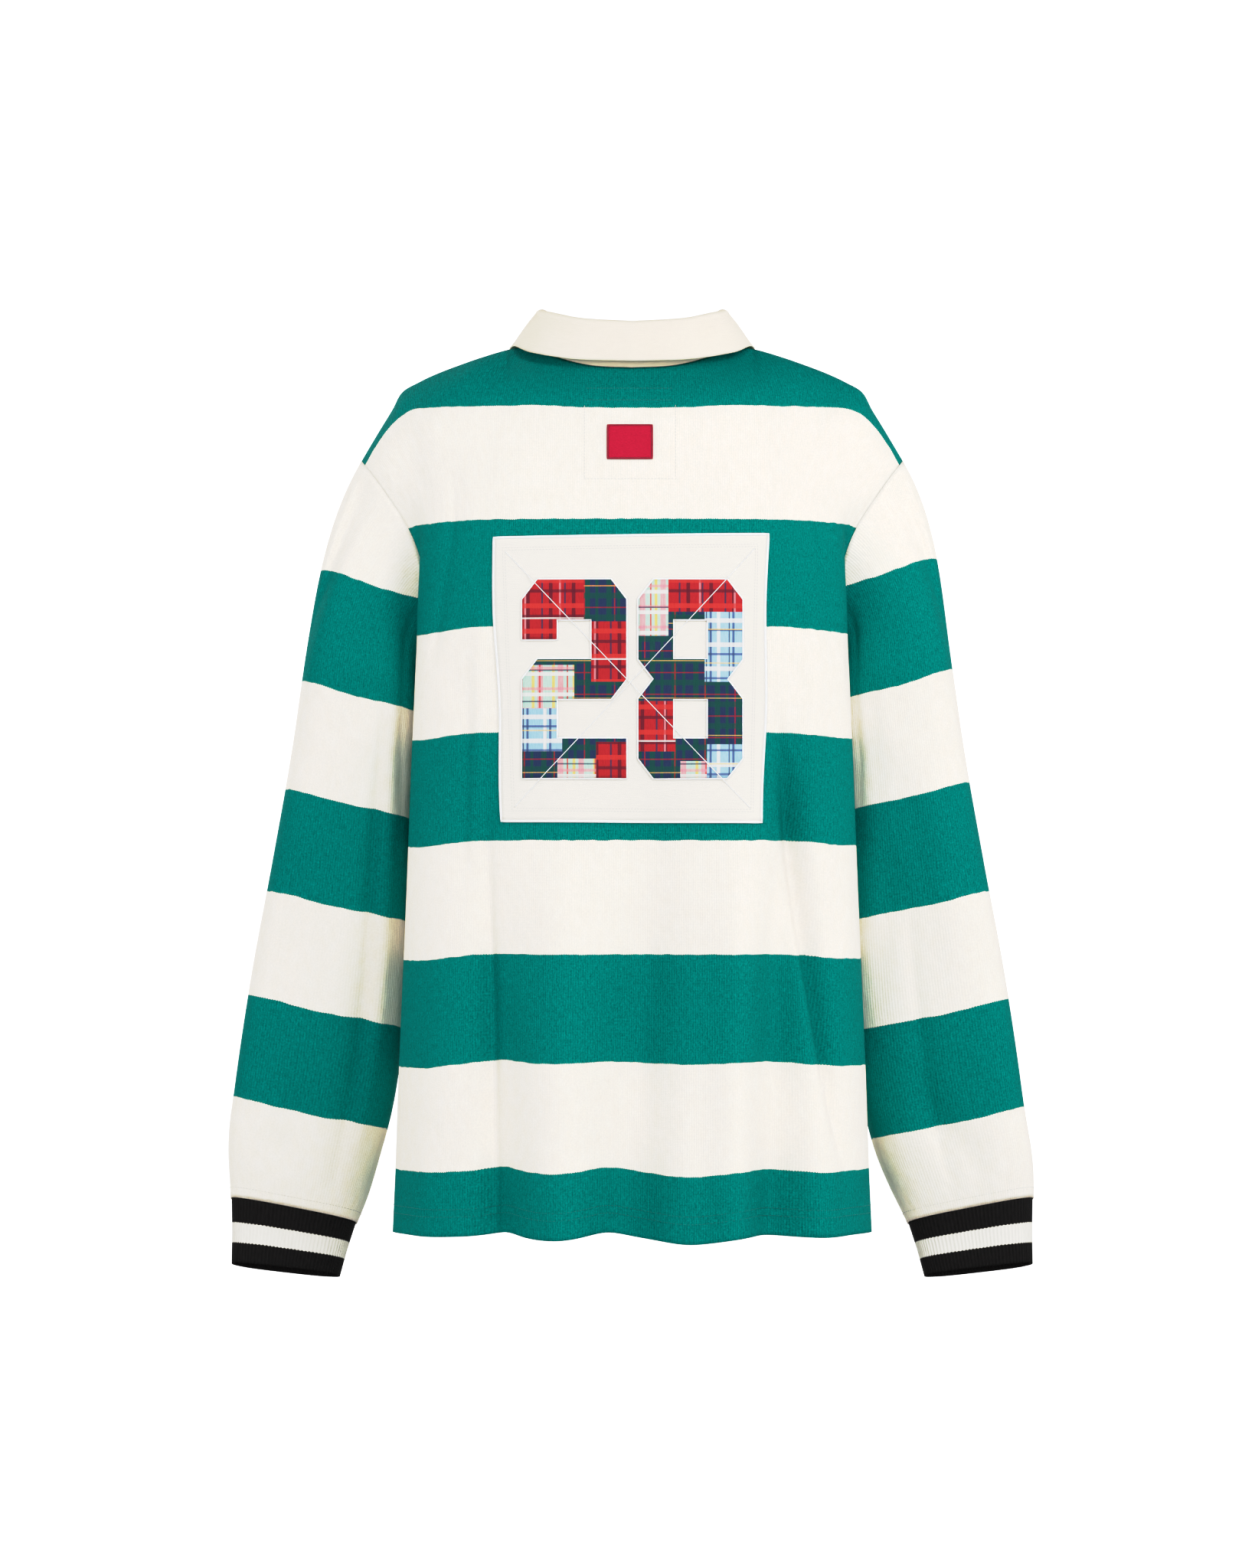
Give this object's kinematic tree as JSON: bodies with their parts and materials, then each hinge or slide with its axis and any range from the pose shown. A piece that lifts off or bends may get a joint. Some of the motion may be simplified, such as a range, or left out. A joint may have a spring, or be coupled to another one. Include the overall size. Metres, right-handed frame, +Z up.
{
  "type": "rugby shirt",
  "caption": "Long-sleeved rugby shirt with wide hoops, a twill collar, a buttoned half placket, ribbed cuffs and a number patch on the back.",
  "frame": {"origin": "on the centre line, at the height of the neck points of the shoulder seams, midway between front and back of the neck, where the wearer's shoulders hold the shirt", "axes": "+Z up along the body, the front of the shirt faces -Y, the wearer's left is +X"},
  "size_m": [0.6919, 0.2764, 0.8252],
  "materials": {
    "striped_jersey": "matte cotton jersey in wide cream and green hoops",
    "cuff_rib": "black rib with a cream band",
    "collar_twill": "cream cotton twill",
    "patch_twill": "off-white cotton twill with a satin-stitched edge",
    "figure_plaid": "pieced cotton plaids with a satin-stitched edge",
    "label_red": "red woven label, bare",
    "button_rubber": "matte cream rubber"
  },
  "bodies": {
    "root": {"back": "striped_jersey", "front": "striped_jersey", "sleeve_left": "striped_jersey", "sleeve_right": "striped_jersey", "cuff_left": "cuff_rib", "cuff_right": "cuff_rib", "collar_stand": "collar_twill", "collar_leaf": "collar_twill", "placket": "collar_twill", "button_1": "button_rubber", "button_2": "button_rubber", "button_3": "button_rubber", "number_patch": "patch_twill", "figure_left": "figure_plaid", "figure_right": "figure_plaid", "label": "label_red"}
  },
  "joints": []
}
